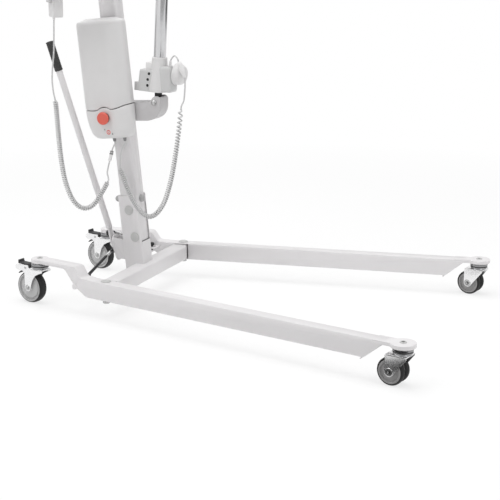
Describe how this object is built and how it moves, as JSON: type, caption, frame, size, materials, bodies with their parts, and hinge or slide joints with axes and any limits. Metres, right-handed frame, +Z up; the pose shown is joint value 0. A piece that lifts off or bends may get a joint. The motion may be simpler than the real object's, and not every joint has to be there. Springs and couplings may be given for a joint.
{
  "type": "electric patient lift",
  "caption": "Mobile floor hoist with leaning mast, electric lifting boom and spreader bar, opening legs on casters, and a corded handset.",
  "frame": {"origin": "on the floor under the middle of the lift's footprint, on its plane of symmetry", "axes": "+Z up, +X from the mast towards the boom's tip and the legs' front casters, +Y towards the lift's left side"},
  "size_m": [1.341, 0.9268, 1.7778],
  "materials": {
    "powder_coated_steel": "light grey powder coat, fine orange peel",
    "moulded_casing": "moulded light grey plastic, fine spark-eroded texture",
    "zinc_plated_steel": "zinc plated pressed steel",
    "front_wheel_rubber": "soft dark grey tread",
    "rear_tyre_rubber": "soft dark grey tread",
    "wheel_hub": "grey moulded nylon",
    "pedal_plastic": "dark moulded nylon",
    "rubber_grip": "ribbed black rubber",
    "bolt_caps": "light grey push-on caps on steel bolts",
    "bright_steel": "ground bright steel",
    "black_steel": "black rod and fittings",
    "anodised_tube": "clear anodised drawn tube",
    "stop_button": "red moulded mushroom head",
    "cord_jacket": "grey flexible cord"
  },
  "bodies": {
    "frame": {"base_frame": "powder_coated_steel", "leg_pivot_bolt_right": "bolt_caps", "leg_pivot_bolt_left": "bolt_caps", "lever_pivot_bolt": "black_steel", "mast_column": "powder_coated_steel", "mast_lower_bolt": "bolt_caps", "mast_upper_bolt": "bolt_caps", "mast_clamp_bolt": "bolt_caps", "push_handle": "powder_coated_steel", "push_handle_grip": "rubber_grip", "boom_pivot_bolt": "bolt_caps", "actuator_bracket": "powder_coated_steel", "actuator_base_pin": "bright_steel", "control_unit": "moulded_casing", "box_mounting_plate": "bright_steel", "handset_body": "moulded_casing", "handset_cord_drop": "cord_jacket", "handset_cord_coil": "cord_jacket", "handset_cord_rise": "cord_jacket", "handset_cord_connector": "moulded_casing", "handset_cord_tail": "cord_jacket", "actuator_cord_drop": "cord_jacket", "actuator_cord_coil": "cord_jacket", "actuator_cord_rise": "cord_jacket"},
    "battery": {"battery_pack": "moulded_casing"},
    "stop_button": {"emergency_stop_button": "stop_button"},
    "up_button": {"handset_up_button": "pedal_plastic"},
    "down_button": {"handset_down_button": "pedal_plastic"},
    "boom": {"boom_arm": "powder_coated_steel"},
    "hanger": {"hanger_yoke": "bright_steel"},
    "spreader": {"spreader_bar": "powder_coated_steel"},
    "actuator": {"actuator_housing": "moulded_casing", "actuator_motor": "moulded_casing", "actuator_tube": "anodised_tube", "actuator_cord_plug": "moulded_casing"},
    "actuator_ram": {"actuator_rod": "bright_steel"},
    "lever": {"hand_lever": "powder_coated_steel", "lever_grip": "rubber_grip"},
    "leg_right": {"leg_right": "powder_coated_steel", "front_caster_head_right": "zinc_plated_steel", "rear_caster_head_right": "zinc_plated_steel"},
    "rod_right": {"link_rod_right": "black_steel"},
    "front_caster_right": {"front_fork_right": "zinc_plated_steel"},
    "rear_caster_right": {"rear_fork_right": "zinc_plated_steel"},
    "rear_wheel_right": {"rear_hub_right": "wheel_hub", "rear_tyre_right": "rear_tyre_rubber"},
    "brake_right": {"brake_pedal_right": "pedal_plastic"},
    "front_wheel_right_inner": {"front_wheel_right_inner": "front_wheel_rubber"},
    "front_wheel_right_outer": {"front_wheel_right_outer": "front_wheel_rubber"},
    "leg_left": {"leg_left": "powder_coated_steel", "front_caster_head_left": "zinc_plated_steel", "rear_caster_head_left": "zinc_plated_steel"},
    "rod_left": {"link_rod_left": "black_steel"},
    "front_caster_left": {"front_fork_left": "zinc_plated_steel"},
    "rear_caster_left": {"rear_fork_left": "zinc_plated_steel"},
    "rear_wheel_left": {"rear_hub_left": "wheel_hub", "rear_tyre_left": "rear_tyre_rubber"},
    "brake_left": {"brake_pedal_left": "pedal_plastic"},
    "front_wheel_left_inner": {"front_wheel_left_inner": "front_wheel_rubber"},
    "front_wheel_left_outer": {"front_wheel_left_outer": "front_wheel_rubber"}
  },
  "joints": [
    {"name": "boom_pivot", "type": "hinge", "parent": "frame", "child": "boom", "pos_m": [-0.47452, 0, 1.32986], "axis": [0, 1, 0], "range_deg": [0, 57]},
    {"name": "actuator_tilt", "type": "hinge", "parent": "frame", "child": "actuator", "pos_m": [-0.27338, 0, 0.621], "axis": [0, 1, 0], "range_deg": [-9.03, 0.1], "deforming": ["actuator_cord_coil", "actuator_cord_rise"]},
    {"name": "actuator_extend", "type": "slide", "parent": "actuator", "child": "actuator_ram", "axis": [0.0586, 0, 0.9983], "range_m": [-0.2142, 0.001]},
    {"name": "hanger_tilt", "type": "hinge", "parent": "boom", "child": "hanger", "pos_m": [0.33779, 0, 1.76178], "axis": [0, 1, 0], "range_deg": [-57.5, 0.5]},
    {"name": "spreader_swivel", "type": "hinge", "parent": "hanger", "child": "spreader", "pos_m": [0.33779, 0, 1.76178], "axis": [0, 0, 1], "continuous": true},
    {"name": "hand_lever_swing", "type": "hinge", "parent": "frame", "child": "lever", "pos_m": [-0.44039, 0, 0.165], "axis": [-0.9724, 0, -0.2334], "range_deg": [0, 36]},
    {"name": "leg_right_spread", "type": "hinge", "parent": "frame", "child": "leg_right", "pos_m": [-0.32138, -0.2565, 0], "axis": [0, 0, 1], "range_deg": [-0.1, 10.4]},
    {"name": "link_rod_right_turn", "type": "hinge", "parent": "lever", "child": "rod_right", "pos_m": [-0.44195, 0.00424, 0.13512], "axis": [-0.9724, 0, -0.2334], "range_deg": [-36.5, 0.5]},
    {"name": "front_swivel_right", "type": "hinge", "parent": "leg_right", "child": "front_caster_right", "pos_m": [0.63704, -0.42998, 0], "axis": [0, 0, 1], "continuous": true},
    {"name": "rear_swivel_right", "type": "hinge", "parent": "leg_right", "child": "rear_caster_right", "pos_m": [-0.58077, -0.20955, 0], "axis": [0, 0, 1], "continuous": true},
    {"name": "front_wheel_right_inner_spin", "type": "hinge", "parent": "front_caster_right", "child": "front_wheel_right_inner", "pos_m": [0.61152, -0.42502, 0.0375], "axis": [0.1908, 0.9816, 0], "continuous": true},
    {"name": "front_wheel_right_outer_spin", "type": "hinge", "parent": "front_caster_right", "child": "front_wheel_right_outer", "pos_m": [0.61152, -0.42502, 0.0375], "axis": [0.1908, 0.9816, 0], "continuous": true},
    {"name": "rear_wheel_right_spin", "type": "hinge", "parent": "rear_caster_right", "child": "rear_wheel_right", "pos_m": [-0.61709, -0.20249, 0.05], "axis": [0.1908, 0.9816, 0], "continuous": true},
    {"name": "brake_right_rock", "type": "hinge", "parent": "rear_caster_right", "child": "brake_right", "pos_m": [-0.62445, -0.20106, 0.113], "axis": [0.1908, 0.9816, 0], "range_deg": [-7, 0]},
    {"name": "leg_left_spread", "type": "hinge", "parent": "frame", "child": "leg_left", "pos_m": [-0.32138, 0.2565, 0], "axis": [0, 0, 1], "range_deg": [-10.4, 0.1]},
    {"name": "link_rod_left_turn", "type": "hinge", "parent": "lever", "child": "rod_left", "pos_m": [-0.45535, -0.00424, 0.19091], "axis": [-0.9724, 0, -0.2334], "range_deg": [-36.5, 0.5]},
    {"name": "front_swivel_left", "type": "hinge", "parent": "leg_left", "child": "front_caster_left", "pos_m": [0.63704, 0.42998, 0], "axis": [0, 0, 1], "continuous": true},
    {"name": "rear_swivel_left", "type": "hinge", "parent": "leg_left", "child": "rear_caster_left", "pos_m": [-0.58077, 0.20955, 0], "axis": [0, 0, 1], "continuous": true},
    {"name": "front_wheel_left_inner_spin", "type": "hinge", "parent": "front_caster_left", "child": "front_wheel_left_inner", "pos_m": [0.61152, 0.43495, 0.0375], "axis": [0.1908, 0.9816, 0], "continuous": true},
    {"name": "front_wheel_left_outer_spin", "type": "hinge", "parent": "front_caster_left", "child": "front_wheel_left_outer", "pos_m": [0.61152, 0.43495, 0.0375], "axis": [0.1908, 0.9816, 0], "continuous": true},
    {"name": "rear_wheel_left_spin", "type": "hinge", "parent": "rear_caster_left", "child": "rear_wheel_left", "pos_m": [-0.61709, 0.21661, 0.05], "axis": [0.1908, 0.9816, 0], "continuous": true},
    {"name": "brake_left_rock", "type": "hinge", "parent": "rear_caster_left", "child": "brake_left", "pos_m": [-0.62445, 0.21804, 0.113], "axis": [0.1908, 0.9816, 0], "range_deg": [-7, 0]},
    {"name": "stop_push", "type": "slide", "parent": "frame", "child": "stop_button", "axis": [0, 1, 0], "range_m": [0, 0.004], "stiffness_N_per_m": 400},
    {"name": "up_button_press", "type": "slide", "parent": "frame", "child": "up_button", "axis": [-0.6691, -0.7431, 0], "range_m": [0, 0.0015], "stiffness_N_per_m": 300},
    {"name": "down_button_press", "type": "slide", "parent": "frame", "child": "down_button", "axis": [-0.6691, -0.7431, 0], "range_m": [0, 0.0015], "stiffness_N_per_m": 300},
    {"name": "battery_lift", "type": "slide", "parent": "frame", "child": "battery", "axis": [-0.1028, 0, 0.9947], "range_m": [0, 0.04]}
  ],
  "couplings": [
    {"joint": "actuator_tilt", "follows": "boom_pivot", "ratio": -0.15658},
    {"joint": "actuator_extend", "follows": "boom_pivot", "m_per_rad": -0.21434},
    {"joint": "hanger_tilt", "follows": "boom_pivot", "ratio": -1},
    {"joint": "leg_right_spread", "follows": "hand_lever_swing", "ratio": 0.285},
    {"joint": "link_rod_right_turn", "follows": "hand_lever_swing", "ratio": -1},
    {"joint": "leg_left_spread", "follows": "hand_lever_swing", "ratio": -0.285},
    {"joint": "link_rod_left_turn", "follows": "hand_lever_swing", "ratio": -1}
  ]
}
